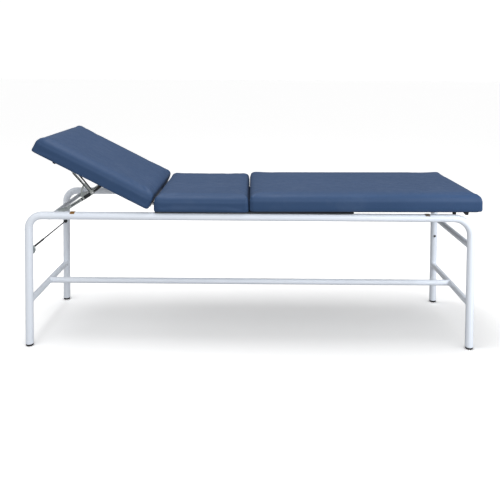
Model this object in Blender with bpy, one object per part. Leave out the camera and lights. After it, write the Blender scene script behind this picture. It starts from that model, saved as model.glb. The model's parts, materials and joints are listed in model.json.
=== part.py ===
"""Examination couch: a three-section padded top on a bent-tube frame.

The head section tilts on two butt hinges and is held by a pair of ratchet
arms. A paper-roll bar is spring-held between a cup and a socket on the
head-end legs.
Metres, +Z up. +X runs to the foot end, -X to the head end, -Y is the near
side. The origin is on the floor under the middle of the couch.
The head section is modelled raised by HEAD_TILT.
"""

import math

import bmesh
import bpy
from mathutils import Matrix, Vector

# ---- driving dimensions -------------------------------------------------
GAP = 0.0003            # clearance left between touching pieces
CENTRE_X = -0.01200     # frame centre, so the whole couch is centred on X=0

TUBE_R = 0.0175         # side frame tube
TUBE_WALL = 0.0020
LEG_X = 0.972
SIDE_Y = 0.270
RAIL_Z = 0.580
HEAD_BEND_R = 0.056
FOOT_BEND_R = 0.078
FOOT_H = 0.0090         # visible height of a rubber foot

CROSS_R = 0.0140        # welded cross tubes and the long stretcher
CROSS_WALL = 0.0018
HEAD_CROSS_R = 0.010
HEAD_CROSS_X = -0.882
HEAD_CROSS_Z = 0.572
FOOT_CROSS_Z = 0.454
LOW_CROSS_Z = 0.1975

BOARD_T = 0.012         # ply board inside each pad
BASE_T = 0.0060         # board across the rails
BASE_X = (-0.4180, 0.4560)
PAD_HALF_Y = 0.300
BOARD_HALF_Y = 0.285
PAD_EDGE_R = 0.020
PAD_HEM_R = 0.008
SEAT_X = (-0.4180, -0.0060)
SEAT_Z = (0.6041, 0.6740)
LEG_PAD_X = (0.0010, 1.0135)
LEG_PAD_Z = (0.6085, 0.6825)
LEG_RISE = math.radians(0.35)
HEAD_X = (-1.0055, -0.4395)
HEAD_Z = (0.6095, 0.6798)

HEAD_TILT = math.radians(26.67)
HINGE = Vector((-0.4310, 0.0, 0.6240))
HINGE_Y = 0.200
HINGE_HALF = 0.030
KNUCKLE_HALF = 0.010
BARREL_R = 0.0045
HINGE_PIN_R = 0.0020
LEAF_T = 0.0020
LEAF_REACH = 0.055

KITE_R = 0.403          # hinge to either arm pivot
KITE_DROP = math.radians(5.0)
ARM_LEN = 0.1426
ARM_HALF_W = 0.0075
UPPER_HEAD_HALF = 0.0110  # the upper arm narrows to ARM_HALF_W at the knee
ARM_PIN_R = 0.0040
ARM_HOLE_R = 0.0045
SHAFT_R = 0.0055
QUAD_R = (0.0470, 0.0550)
QUAD_SWEEP = math.radians(88.0)
HOUSING_REACH = (0.0150, 0.0620)

# layers of the near mechanism, outboard to inboard; the far side mirrors them
HEAD_EAR_Y = (-0.1915, -0.1890)
UPPER_Y = (-0.1885, -0.1855)
QUAD_Y = (-0.1852, -0.1832)
LOWER_Y = (-0.1826, -0.1796)
FRAME_EAR_Y = (-0.1790, -0.1765)
HOUSING_Y = (-0.1793, -0.1650)
PAWL_Y = (-0.1793, -0.1720)

ROLL_X = -LEG_X
ROLL_Z = 0.422
CUP_R = 0.0225
CUP_T = 0.0035
FLANGE_R = 0.0100
SOCKET_R = 0.0070
SOCKET_L = 0.0070
ROD_R = 0.0030
SLEEVE_R = 0.0045
SLEEVE_Y = (-0.2415, -0.0850)
ROD_Y = (-0.1700, 0.2450)

RAIL_TOP = RAIL_Z + TUBE_R
BASE_Z = (RAIL_TOP + GAP, RAIL_TOP + GAP + BASE_T)
TUBE_SIDES = 6          # curve bevel resolution of the frame tubes
THIN_SIDES = 4


# ---- scene --------------------------------------------------------------
for old in list(bpy.data.objects):
    bpy.data.objects.remove(old, do_unlink=True)


def material(name, colour, roughness, metallic=0.0):
    mat = bpy.data.materials.new(name)
    mat.use_nodes = True
    shader = mat.node_tree.nodes["Principled BSDF"]
    shader.inputs["Base Color"].default_value = (*colour, 1.0)
    shader.inputs["Roughness"].default_value = roughness
    shader.inputs["Metallic"].default_value = metallic
    mat.diffuse_color = (*colour, 1.0)
    return mat


WHITE = material("white_powder_coat", (0.80, 0.82, 0.86), 0.38)
VINYL = material("navy_vinyl", (0.045, 0.085, 0.165), 0.48)
RUBBER = material("black_rubber", (0.012, 0.012, 0.013), 0.75)
PLASTIC = material("black_plastic", (0.020, 0.022, 0.024), 0.45)
ZINC = material("zinc_plate", (0.42, 0.46, 0.46), 0.32, 0.9)
PLY = material("dark_board", (0.045, 0.050, 0.062), 0.70)
AMBER = material("amber_saddle", (0.30, 0.13, 0.02), 0.40)
STEEL = material("bright_steel", (0.62, 0.63, 0.64), 0.25, 1.0)
DARK_STEEL = material("dark_steel", (0.030, 0.031, 0.034), 0.40, 0.3)


def empty(name, location, parent=None, tilt=0.0):
    axis = bpy.data.objects.new(name, None)
    axis.empty_display_size = 0.03
    axis.parent = parent
    axis.location = location
    axis.rotation_euler = (0.0, tilt, 0.0)
    bpy.context.scene.collection.objects.link(axis)
    return axis


def add_object(name, bm, mat, parent, smooth=True):
    """Turn a bmesh into an object, with normals out and sharp edges kept."""
    bmesh.ops.remove_doubles(bm, verts=bm.verts, dist=1e-6)
    bmesh.ops.recalc_face_normals(bm, faces=bm.faces)
    mesh = bpy.data.meshes.new(name)
    bm.to_mesh(mesh)
    bm.free()
    if mat is not None:
        mesh.materials.append(mat)
    if smooth:
        mesh.shade_smooth()
        mesh.set_sharp_from_angle(angle=math.radians(35.0))
    obj = bpy.data.objects.new(name, mesh)
    obj.parent = parent
    bpy.context.scene.collection.objects.link(obj)
    return obj


def combine(target, tool, operation):
    """Apply an exact Boolean to target and remove the tool."""
    mod = target.modifiers.new(operation.lower(), "BOOLEAN")
    mod.operation = operation
    mod.solver = "EXACT"
    mod.object = tool
    bpy.context.view_layer.update()
    graph = bpy.context.evaluated_depsgraph_get()
    result = bpy.data.meshes.new_from_object(target.evaluated_get(graph))
    target.modifiers.clear()
    old = target.data
    target.data = result
    bpy.data.meshes.remove(old)
    bpy.data.objects.remove(tool, do_unlink=True)
    target.data.shade_smooth()
    target.data.set_sharp_from_angle(angle=math.radians(35.0))
    return target


def swept(name, path, radius, resolution, mat, parent):
    """A round bar along a poly path, from a bevelled curve with filled caps."""
    curve = bpy.data.curves.new(name, "CURVE")
    curve.dimensions = "3D"
    curve.bevel_depth = radius
    curve.bevel_resolution = resolution
    curve.use_fill_caps = True
    spline = curve.splines.new("POLY")
    spline.points.add(len(path) - 1)
    for point, place in zip(spline.points, path):
        point.co = (*place, 1.0)
    guide = bpy.data.objects.new(name + "_guide", curve)
    bpy.context.scene.collection.objects.link(guide)
    bpy.context.view_layer.update()
    graph = bpy.context.evaluated_depsgraph_get()
    mesh = bpy.data.meshes.new_from_object(guide.evaluated_get(graph))
    bpy.data.objects.remove(guide, do_unlink=True)
    bm = bmesh.new()
    bm.from_mesh(mesh)
    bpy.data.meshes.remove(mesh)
    return add_object(name, bm, mat, parent)


def box(name, low, high, mat, parent):
    size = Vector(high) - Vector(low)
    middle = (Vector(high) + Vector(low)) / 2
    bm = bmesh.new()
    bmesh.ops.create_cube(
        bm, size=1.0,
        matrix=Matrix.Translation(middle) @ Matrix.Diagonal((*size, 1.0)))
    return add_object(name, bm, mat, parent, smooth=False)


def cylinder(name, start, end, radius, sides, mat, parent):
    start = Vector(start)
    end = Vector(end)
    along = end - start
    turn = along.to_track_quat("Z", "Y").to_matrix().to_4x4()
    bm = bmesh.new()
    bmesh.ops.create_cone(
        bm, cap_ends=True, segments=sides, radius1=radius, radius2=radius,
        depth=along.length, matrix=Matrix.Translation((start + end) / 2) @ turn)
    return add_object(name, bm, mat, parent)


def turned(name, profile, origin, axis, sides, mat, parent):
    """Spin a profile of (radius, height) points about an axis at origin."""
    turn = Vector(axis).to_track_quat("Z", "Y").to_matrix().to_4x4()
    place = Matrix.Translation(Vector(origin)) @ turn
    bm = bmesh.new()
    verts = [bm.verts.new((radius, 0.0, height)) for radius, height in profile]
    edges = [bm.edges.new(pair) for pair in zip(verts, verts[1:])]
    bmesh.ops.spin(
        bm, geom=verts + edges, cent=(0, 0, 0), axis=(0, 0, 1),
        angle=2 * math.pi, steps=sides, use_merge=True)
    bmesh.ops.transform(bm, matrix=place, verts=bm.verts)
    return add_object(name, bm, mat, parent)


def plate(name, outline, y_range, mat, parent):
    """Extrude an outline of (x, z) points across y_range."""
    bm = bmesh.new()
    verts = [bm.verts.new((x, y_range[0], z)) for x, z in outline]
    face = bm.faces.new(verts)
    grown = bmesh.ops.extrude_face_region(bm, geom=[face])
    moved = [g for g in grown["geom"] if isinstance(g, bmesh.types.BMVert)]
    bmesh.ops.translate(bm, vec=(0, y_range[1] - y_range[0], 0), verts=moved)
    return add_object(name, bm, mat, parent)


def arc(centre, radius, start, end, steps):
    """Points of an arc in the XZ plane, both ends included."""
    points = []
    for i in range(steps + 1):
        angle = start + (end - start) * i / steps
        points.append((centre[0] + radius * math.cos(angle),
                       centre[1] + radius * math.sin(angle)))
    return points


def stadium(start, end, half_width, steps=6, start_half=None):
    """Outline of a bar with round ends between two (x, z) points.

    start_half gives the start its own half width, for a tapered bar.
    """
    heading = math.atan2(end[1] - start[1], end[0] - start[0])
    quarter = math.pi / 2
    wide = start_half or half_width
    return (arc(end, half_width, heading - quarter, heading + quarter, steps)
            + arc(start, wide, heading + quarter, heading + 3 * quarter, steps))


def mirrored(y_range, side):
    """A near-side Y range, or its mirror on the far side."""
    if side < 0:
        return y_range
    return (-y_range[1], -y_range[0])


def drill(obj, x, z, radius, y_range, parent, sides=12):
    margin = 0.002
    tool = cylinder("drill", (x, y_range[0] - margin, z),
                    (x, y_range[1] + margin, z), radius, sides, None, parent)
    return combine(obj, tool, "DIFFERENCE")


SIDES = (("near", -1), ("far", 1))
ENDS = (("head", -1), ("foot", 1))

couch = empty("couch", (CENTRE_X, 0.0, 0.0))


# ---- side frames --------------------------------------------------------
def frame_path(y, bottom):
    """Leg, bend, rail, bend and leg of one side frame."""
    path = [(-LEG_X, y, bottom)]
    quarter = math.pi / 2
    left = (-LEG_X + HEAD_BEND_R, RAIL_Z - HEAD_BEND_R)
    right = (LEG_X - FOOT_BEND_R, RAIL_Z - FOOT_BEND_R)
    for x, z in arc(left, HEAD_BEND_R, 2 * quarter, quarter, 7):
        path.append((x, y, z))
    for x, z in arc(right, FOOT_BEND_R, quarter, 0.0, 7):
        path.append((x, y, z))
    path.append((LEG_X, y, bottom))
    return path


def frame_tool(side, radius):
    return swept("frame_tool", frame_path(side * SIDE_Y, -0.02), radius,
                 TUBE_SIDES, None, couch)


for side_name, side in SIDES:
    frame = swept("side_frame_" + side_name,
                  frame_path(side * SIDE_Y, FOOT_H + GAP),
                  TUBE_R, TUBE_SIDES, WHITE, couch)
    combine(frame, frame_tool(side, TUBE_R - TUBE_WALL), "DIFFERENCE")

    for end_name, end in ENDS:
        bore = TUBE_R - TUBE_WALL - 2 * GAP
        turned("foot_%s_%s" % (side_name, end_name),
               [(0.0, 0.0), (TUBE_R - 0.0030, 0.0), (TUBE_R - 0.0008, 0.0018),
                (TUBE_R - 0.0004, FOOT_H), (bore - 0.0008, FOOT_H),
                (bore - 0.0008, 0.030), (bore - 0.0030, 0.034), (0.0, 0.034)],
               (end * LEG_X, side * SIDE_Y, 0.0), (0, 0, 1), 16, RUBBER, couch)


# ---- cross tubes --------------------------------------------------------
def cross_tube(name, x, z, radius):
    """A tube between the two side frames, its ends coped to their tubes."""
    reach = SIDE_Y
    tube = cylinder(name, (x, -reach, z), (x, reach, z), radius, 16, WHITE, couch)
    bore = cylinder("bore", (x, -reach - 0.01, z), (x, reach + 0.01, z),
                    radius - CROSS_WALL, 12, None, couch)
    combine(tube, bore, "DIFFERENCE")
    for _, side in SIDES:
        combine(tube, frame_tool(side, TUBE_R + GAP), "DIFFERENCE")
    return tube


cross_tube("head_cross_tube", HEAD_CROSS_X, HEAD_CROSS_Z, HEAD_CROSS_R)
cross_tube("foot_cross_tube", LEG_X, FOOT_CROSS_Z, CROSS_R)
cross_tube("lower_cross_tube_head", -LEG_X, LOW_CROSS_Z, CROSS_R)
cross_tube("lower_cross_tube_foot", LEG_X, LOW_CROSS_Z, CROSS_R)

stretcher = cylinder("long_stretcher", (-LEG_X, 0, LOW_CROSS_Z),
                     (LEG_X, 0, LOW_CROSS_Z), CROSS_R, 16, WHITE, couch)
stretcher_bore = cylinder("bore", (-LEG_X - 0.02, 0, LOW_CROSS_Z),
                          (LEG_X + 0.02, 0, LOW_CROSS_Z),
                          CROSS_R - CROSS_WALL, 12, None, couch)
combine(stretcher, stretcher_bore, "DIFFERENCE")
for _, end in ENDS:
    cope = cylinder("cope", (end * LEG_X, -0.03, LOW_CROSS_Z),
                    (end * LEG_X, 0.03, LOW_CROSS_Z), CROSS_R + GAP, 16, None, couch)
    combine(stretcher, cope, "DIFFERENCE")


# ---- pieces on the frame tubes ------------------------------------------
SADDLE_X = 0.778
SADDLE_HALF = 0.010
SADDLE_T = 0.0012
SADDLE_SKIRT = 0.0110   # height above the tube's axis where a saddle ends
for end_name, end in ENDS:
    x = end * SADDLE_X
    y = -SIDE_Y
    shell = cylinder("saddle_" + end_name,
                     (x - SADDLE_HALF, y, RAIL_Z), (x + SADDLE_HALF, y, RAIL_Z),
                     TUBE_R + GAP + SADDLE_T, 16, AMBER, couch)
    lower = box("lower", (x - 0.02, y - 0.03, RAIL_Z - 0.03),
                (x + 0.02, y + 0.03, RAIL_Z + SADDLE_SKIRT), None, couch)
    combine(shell, lower, "DIFFERENCE")
    combine(shell, frame_tool(-1, TUBE_R + GAP), "DIFFERENCE")

BUFFER_X = 0.896
BUFFER_R = 0.0080
END_STOP_X = (0.9340, 0.9570)   # along the board
END_STOP_TIP = (0.9440, 0.9540)
END_STOP_H = 0.0130
END_STOP_HALF = 0.009
for side_name, side in SIDES:
    y = side * SIDE_Y
    top = BASE_Z[1] + (BUFFER_X - BUFFER_R - LEG_PAD_X[0]) * math.tan(LEG_RISE)
    low = RAIL_TOP + GAP
    turned("leg_buffer_" + side_name,
           [(0.0, low), (BUFFER_R - 0.001, low), (BUFFER_R, low + 0.001),
            (BUFFER_R, top - 0.001), (BUFFER_R - 0.001, top), (0.0, top)],
           (BUFFER_X, y, 0.0), (0, 0, 1), 14, RUBBER, couch)
    plate("end_stop_" + side_name,
          [(END_STOP_X[0], top), (END_STOP_TIP[0], top - END_STOP_H),
           (END_STOP_TIP[1], top - END_STOP_H), (END_STOP_X[1], top)],
          (y - END_STOP_HALF, y + END_STOP_HALF), RUBBER, couch)

PLUG_Z = 0.355
PLUG_R = 0.0060
PLUG_T = 0.0030
for side_name, side in SIDES:
    face = side * (SIDE_Y - TUBE_R - GAP)
    turned("leg_plug_" + side_name,
           [(0.0, 0.0), (PLUG_R, 0.0), (PLUG_R, PLUG_T - 0.001),
            (PLUG_R - 0.001, PLUG_T), (0.0, PLUG_T)],
           (LEG_X, face, PLUG_Z), (0, -side, 0), 14, PLASTIC, couch)


# ---- pads and their boards ----------------------------------------------
def pad(name, x_range, z_range, mat, parent):
    """A cushion: rounded top and corners, a smaller radius along the hem."""
    size = Vector((x_range[1] - x_range[0], 2 * PAD_HALF_Y, z_range[1] - z_range[0]))
    middle = Vector((sum(x_range) / 2, 0.0, sum(z_range) / 2))
    bm = bmesh.new()
    bmesh.ops.create_cube(
        bm, size=1.0,
        matrix=Matrix.Translation(middle) @ Matrix.Diagonal((*size, 1.0)))
    floor_z = z_range[0]
    rounded = [e for e in bm.edges
               if max(v.co.z for v in e.verts) > floor_z + 0.001]
    bmesh.ops.bevel(bm, geom=rounded, offset=PAD_EDGE_R, segments=4,
                    profile=0.5, affect="EDGES")
    hem = [e for e in bm.edges
           if all(abs(v.co.z - floor_z) < 1e-5 for v in e.verts)]
    bmesh.ops.bevel(bm, geom=hem, offset=PAD_HEM_R, segments=2,
                    profile=0.5, affect="EDGES")
    return add_object(name, bm, mat, parent)


def board(name, x_range, half_y, z_range, mat, parent, corner=0.012):
    """A flat board with rounded corners in plan."""
    bm = bmesh.new()
    size = Vector((x_range[1] - x_range[0], 2 * half_y, z_range[1] - z_range[0]))
    middle = Vector((sum(x_range) / 2, 0.0, sum(z_range) / 2))
    bmesh.ops.create_cube(
        bm, size=1.0,
        matrix=Matrix.Translation(middle) @ Matrix.Diagonal((*size, 1.0)))
    upright = [e for e in bm.edges
               if abs(e.verts[0].co.z - e.verts[1].co.z) > 0.001]
    bmesh.ops.bevel(bm, geom=upright, offset=corner, segments=3,
                    profile=0.5, affect="EDGES")
    return add_object(name, bm, mat, parent)


BOARD_INSET = 0.015


def padded_section(name, x_range, z_range, board_low, parent):
    """A pad with its board let into a pocket of the underside."""
    cushion = pad(name + "_pad", x_range, z_range, VINYL, parent)
    board_x = (x_range[0] + BOARD_INSET, x_range[1] - BOARD_INSET)
    board_z = (board_low, board_low + BOARD_T)
    pocket = board("pocket", (board_x[0] - GAP, board_x[1] + GAP), BOARD_HALF_Y + GAP,
                   (board_low - 0.01, board_z[1] + GAP), None, parent, 0.012 + GAP)
    combine(cushion, pocket, "DIFFERENCE")
    board(name + "_board", board_x, BOARD_HALF_Y, board_z, PLY, parent)


board("base_board", BASE_X, BOARD_HALF_Y, BASE_Z, PLY, couch)
padded_section("seat", SEAT_X, SEAT_Z, BASE_Z[1] + GAP, couch)

LEG_CORNER = Vector((LEG_PAD_X[0], 0.0, BASE_Z[1] + GAP))
leg_axis = empty("leg_section", LEG_CORNER, couch, -LEG_RISE)
leg_flat = empty("leg_flat", -LEG_CORNER, leg_axis)
padded_section("leg", LEG_PAD_X, LEG_PAD_Z, LEG_CORNER.z, leg_flat)

head_axis = empty("head_axis", HINGE, couch, HEAD_TILT)
head_flat = empty("head_flat", -HINGE, head_axis)
padded_section("head", HEAD_X, HEAD_Z, HEAD_Z[0], head_flat)

HEAD_STOP_X = -0.8975
HEAD_STOP_R = 0.0085
for side_name, side in SIDES:
    top = HEAD_Z[0] - GAP
    low = RAIL_TOP + 2 * GAP
    turned("head_stop_" + side_name,
           [(0.0, low), (HEAD_STOP_R - 0.002, low), (HEAD_STOP_R - 0.001, low + 0.001),
            (HEAD_STOP_R, top), (0.0, top)],
           (HEAD_STOP_X, side * SIDE_Y, 0.0), (0, 0, 1), 14, RUBBER, head_flat)


# ---- butt hinges between the head and the seat --------------------------
ARM_Z = (HINGE.z - 0.0015, HINGE.z + 0.0015)


def hinge_leaf(name, flange, foot, reach, knuckles, y, parent):
    """A leaf: foot under a board, upright flange, arms and knuckles."""
    leaf = box(name, (min(flange), y - HINGE_HALF, foot[0]),
               (max(flange), y + HINGE_HALF, ARM_Z[1]), STEEL, parent)
    foot_x = (min(*flange, reach), max(*flange, reach))
    foot_box = box("foot", (foot_x[0], y - HINGE_HALF, foot[0]),
                   (foot_x[1], y + HINGE_HALF, foot[1]), None, parent)
    combine(leaf, foot_box, "UNION")
    for low, high in knuckles:
        barrel = cylinder("barrel", (HINGE.x, y + low, HINGE.z),
                          (HINGE.x, y + high, HINGE.z), BARREL_R, 14, None, parent)
        arm_x = sorted((HINGE.x, sum(flange) / 2))
        arm = box("arm", (arm_x[0], y + low, ARM_Z[0]),
                  (arm_x[1], y + high, ARM_Z[1] - 0.0003), None, parent)
        combine(barrel, arm, "UNION")
        combine(leaf, barrel, "UNION")
    drill(leaf, HINGE.x, HINGE.z, HINGE_PIN_R + 0.0004,
          (y - HINGE_HALF, y + HINGE_HALF), parent)
    return leaf


for side_name, side in SIDES:
    y = side * HINGE_Y
    seat_face = SEAT_X[0] - GAP
    head_face = HEAD_X[1] + GAP
    outer = ((-HINGE_HALF, -KNUCKLE_HALF - GAP), (KNUCKLE_HALF + GAP, HINGE_HALF))
    inner = ((-KNUCKLE_HALF + GAP, KNUCKLE_HALF - GAP),)
    seat_foot = (BASE_Z[0] - GAP - LEAF_T, BASE_Z[0] - GAP)
    head_foot = (HEAD_Z[0] - GAP - LEAF_T, HEAD_Z[0] - GAP)
    hinge_leaf("hinge_leaf_seat_" + side_name, (seat_face - LEAF_T, seat_face),
               seat_foot, seat_face + LEAF_REACH, outer, y, couch)
    hinge_leaf("hinge_leaf_head_" + side_name, (head_face, head_face + LEAF_T),
               head_foot, head_face - LEAF_REACH, inner, y, head_flat)
    cylinder("hinge_pin_" + side_name, (HINGE.x, y - HINGE_HALF - 0.001, HINGE.z),
             (HINGE.x, y + HINGE_HALF + 0.001, HINGE.z), HINGE_PIN_R, 12,
             STEEL, couch)


# ---- head support arms --------------------------------------------------
def raised(point, angle):
    """Turn a point about the head hinge by a tilt of the head."""
    return HINGE + Matrix.Rotation(angle, 3, "Y") @ (point - HINGE)


FRAME_PIVOT = HINGE + KITE_R * Vector((-math.cos(KITE_DROP), 0, -math.sin(KITE_DROP)))
HEAD_PIVOT = raised(FRAME_PIVOT, HEAD_TILT)
KNEE_REACH = (KITE_R * math.cos(HEAD_TILT / 2)
              - math.sqrt(ARM_LEN ** 2 - (KITE_R * math.sin(HEAD_TILT / 2)) ** 2))
KNEE = raised(HINGE + (FRAME_PIVOT - HINGE).normalized() * KNEE_REACH, HEAD_TILT / 2)
LOWER_TILT = -math.atan2(KNEE.z - FRAME_PIVOT.z, KNEE.x - FRAME_PIVOT.x)
UPPER_TILT = -math.atan2(KNEE.z - HEAD_PIVOT.z, KNEE.x - HEAD_PIVOT.x)

lower_axis = empty("lower_arm_axis", FRAME_PIVOT, couch, LOWER_TILT)
upper_axis = empty("upper_arm_axis", FRAME_PIVOT, head_flat, UPPER_TILT - HEAD_TILT)


def quadrant_outline():
    """Toothed-arc plate on the upper arm, centred on the knee."""
    knee = (ARM_LEN, 0.0)
    half = ARM_HALF_W - 0.0015
    inner, outer = QUAD_R
    start = math.pi
    shape = arc(knee, outer, start - math.asin(half / outer), start + QUAD_SWEEP, 12)
    shape += arc(knee, inner, start + QUAD_SWEEP, start + math.asin(half / inner), 12)
    shape += arc(knee, half, start + math.pi / 2, start + 3 * math.pi / 2, 8)
    return shape


def pin(name, x, z, head_y, end_y, parent, head_r=0.0065, head_t=0.0020):
    """A headed pin along Y: its head stands beyond head_y."""
    way = 1.0 if end_y > head_y else -1.0
    length = abs(end_y - head_y)
    turned(name,
           [(0.0, -head_t), (head_r - 0.001, -head_t), (head_r, -head_t + 0.001),
            (head_r, 0.0), (ARM_PIN_R, 0.0), (ARM_PIN_R, length), (0.0, length)],
           (x, head_y, z), (0, way, 0), 12, STEEL, parent)


EAR_HALF = 0.0090
EAR_FLANGE = 0.016
for side_name, side in SIDES:
    # ear welded to the head cross tube
    ear_y = mirrored(FRAME_EAR_Y, side)
    ear = plate("frame_ear_" + side_name,
                stadium((HEAD_CROSS_X, HEAD_CROSS_Z), (FRAME_PIVOT.x, FRAME_PIVOT.z),
                        EAR_HALF),
                ear_y, ZINC, couch)
    tube = cylinder("tube", (HEAD_CROSS_X, ear_y[0] - 0.01, HEAD_CROSS_Z),
                    (HEAD_CROSS_X, ear_y[1] + 0.01, HEAD_CROSS_Z),
                    HEAD_CROSS_R + GAP, 16, None, couch)
    combine(ear, tube, "DIFFERENCE")
    drill(ear, FRAME_PIVOT.x, FRAME_PIVOT.z, ARM_HOLE_R, ear_y, couch)
    pin("frame_pivot_pin_" + side_name, FRAME_PIVOT.x, FRAME_PIVOT.z,
        side * (abs(FRAME_EAR_Y[1]) - GAP), side * abs(LOWER_Y[0]), couch)

    # ear under the head board, with a flange turned outboard
    ear_y = mirrored(HEAD_EAR_Y, side)
    ear_top = HEAD_Z[0] - GAP
    x, z = FRAME_PIVOT.x, FRAME_PIVOT.z
    outline = arc((x, z), EAR_HALF, math.pi, 2 * math.pi, 8)
    outline += [(x + 0.020, ear_top), (x - 0.020, ear_top)]
    ear = plate("head_ear_" + side_name, outline, ear_y, ZINC, head_flat)
    flange_y = mirrored((HEAD_EAR_Y[0] - EAR_FLANGE, HEAD_EAR_Y[1]), side)
    flange = box("flange", (x - 0.020, flange_y[0], ear_top - 0.0025),
                 (x + 0.020, flange_y[1], ear_top), None, head_flat)
    combine(ear, flange, "UNION")
    drill(ear, x, z, ARM_HOLE_R, ear_y, head_flat)
    pin("head_pivot_pin_" + side_name, x, z,
        side * (abs(HEAD_EAR_Y[0]) + GAP), side * abs(UPPER_Y[1]), head_flat)

    # lower arm, its release housing and pawl
    arm_y = mirrored(LOWER_Y, side)
    arm = plate("lower_arm_" + side_name,
                stadium((0, 0), (ARM_LEN, 0), ARM_HALF_W), arm_y, ZINC, lower_axis)
    drill(arm, 0, 0, ARM_HOLE_R, arm_y, lower_axis)
    near = ARM_LEN - HOUSING_REACH[1] + ARM_HALF_W
    far = ARM_LEN - HOUSING_REACH[0] - ARM_HALF_W
    plate("release_housing_" + side_name,
          stadium((near, 0), (far, 0), ARM_HALF_W + 0.0007),
          mirrored(HOUSING_Y, side), PLASTIC, lower_axis)
    pawl_x = ARM_LEN - HOUSING_REACH[1] - 0.0110
    plate("pawl_" + side_name,
          [(pawl_x - 0.007, -0.0070), (pawl_x + 0.008, -0.0070),
           (pawl_x + 0.008, 0.0030), (pawl_x, 0.0060), (pawl_x - 0.007, 0.0015)],
          mirrored(PAWL_Y, side), PLASTIC, lower_axis)

    # upper arm with its long slot, and the quadrant it carries
    arm_y = mirrored(UPPER_Y, side)
    arm = plate("upper_arm_" + side_name,
                stadium((0, 0), (ARM_LEN, 0), ARM_HALF_W, 6, UPPER_HEAD_HALF),
                arm_y, ZINC, upper_axis)
    drill(arm, 0, 0, ARM_HOLE_R, arm_y, upper_axis)
    slot = plate("slot", stadium((0.030, 0), (0.085, 0), 0.0025),
                 (arm_y[0] - 0.002, arm_y[1] + 0.002), None, upper_axis)
    combine(arm, slot, "DIFFERENCE")
    plate("quadrant_" + side_name, quadrant_outline(), mirrored(QUAD_Y, side),
          ZINC, upper_axis)

cylinder("knee_shaft", (ARM_LEN, LOWER_Y[1] + GAP, 0), (ARM_LEN, -LOWER_Y[1] - GAP, 0),
         SHAFT_R, 16, PLASTIC, lower_axis)


# ---- paper-roll bar between the head-end legs ---------------------------
CUP_FACE = SIDE_Y - TUBE_R - GAP
SOCKET_END = CUP_T + SOCKET_L
socket = [(SOCKET_R, CUP_T), (SOCKET_R, SOCKET_END), (ROD_R + 0.0006, SOCKET_END),
          (ROD_R + 0.0006, CUP_T - 0.0005), (0.0, CUP_T - 0.0005)]
turned("roll_cup_near",
       [(0.0, 0.0), (CUP_R - 0.001, 0.0), (CUP_R, 0.001), (CUP_R, CUP_T),
        (CUP_R - 0.0015, CUP_T), (CUP_R - 0.003, CUP_T - 0.0012),
        (SOCKET_R + 0.0015, CUP_T - 0.0012)] + socket,
       (ROLL_X, -CUP_FACE, ROLL_Z), (0, 1, 0), 24, ZINC, couch)
turned("roll_socket_far",
       [(0.0, 0.0), (FLANGE_R - 0.0005, 0.0), (FLANGE_R, 0.0005),
        (FLANGE_R, CUP_T - 0.0015), (SOCKET_R + 0.0015, CUP_T - 0.0010)] + socket,
       (ROLL_X, CUP_FACE, ROLL_Z), (0, -1, 0), 20, PLASTIC, couch)

roll_axis = empty("roll_axis", (ROLL_X, 0.0, ROLL_Z), couch)
JOURNAL_Y = -CUP_FACE + CUP_T + 0.0003
turned("roll_sleeve",
       [(0.0, JOURNAL_Y), (ROD_R, JOURNAL_Y), (ROD_R, SLEEVE_Y[0] + 0.0010),
        (SLEEVE_R - 0.0008, SLEEVE_Y[0] + 0.0010), (SLEEVE_R, SLEEVE_Y[0] + 0.0018),
        (SLEEVE_R, SLEEVE_Y[1]), (ROD_R + 0.0005, SLEEVE_Y[1]),
        (ROD_R + 0.0005, SLEEVE_Y[0] + 0.008), (0.0, SLEEVE_Y[0] + 0.008)],
       (0, 0, 0), (0, 1, 0), 12, PLASTIC, roll_axis)
turned("roll_rod",
       [(0.0, ROD_Y[0]), (ROD_R - 0.0005, ROD_Y[0]), (ROD_R, ROD_Y[0] + 0.0005),
        (ROD_R, ROD_Y[1] - 0.001), (ROD_R - 0.001, ROD_Y[1]), (0.0, ROD_Y[1])],
       (0, 0, 0), (0, 1, 0), 12, DARK_STEEL, roll_axis)
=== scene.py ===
import json
import math
import random

import bmesh
import bpy
import numpy as np
from mathutils import Matrix, Vector

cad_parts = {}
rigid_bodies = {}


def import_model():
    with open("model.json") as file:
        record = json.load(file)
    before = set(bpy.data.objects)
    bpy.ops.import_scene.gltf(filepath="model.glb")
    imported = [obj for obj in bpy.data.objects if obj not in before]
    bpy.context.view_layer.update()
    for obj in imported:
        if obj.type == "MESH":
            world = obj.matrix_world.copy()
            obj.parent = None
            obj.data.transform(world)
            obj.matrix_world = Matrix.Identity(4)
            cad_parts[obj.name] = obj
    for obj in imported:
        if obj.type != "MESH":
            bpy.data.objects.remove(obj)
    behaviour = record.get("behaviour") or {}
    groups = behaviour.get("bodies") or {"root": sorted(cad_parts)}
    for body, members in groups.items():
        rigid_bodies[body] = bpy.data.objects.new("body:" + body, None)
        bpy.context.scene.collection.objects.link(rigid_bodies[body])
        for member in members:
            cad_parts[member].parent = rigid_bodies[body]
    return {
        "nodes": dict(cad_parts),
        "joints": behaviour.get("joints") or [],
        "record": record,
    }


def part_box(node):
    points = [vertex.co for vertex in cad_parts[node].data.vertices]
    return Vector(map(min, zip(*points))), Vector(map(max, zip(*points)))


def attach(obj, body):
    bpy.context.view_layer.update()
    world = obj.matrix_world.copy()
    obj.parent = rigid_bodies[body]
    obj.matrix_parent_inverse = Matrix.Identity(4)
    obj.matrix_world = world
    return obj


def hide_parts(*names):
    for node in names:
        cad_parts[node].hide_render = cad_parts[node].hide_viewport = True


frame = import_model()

random.seed(7)
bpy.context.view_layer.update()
scene = bpy.context.scene
nodes = frame["nodes"]
joint_at = {j["name"]: Vector(j["pos_m"]) for j in frame["joints"] if "pos_m" in j}

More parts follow.
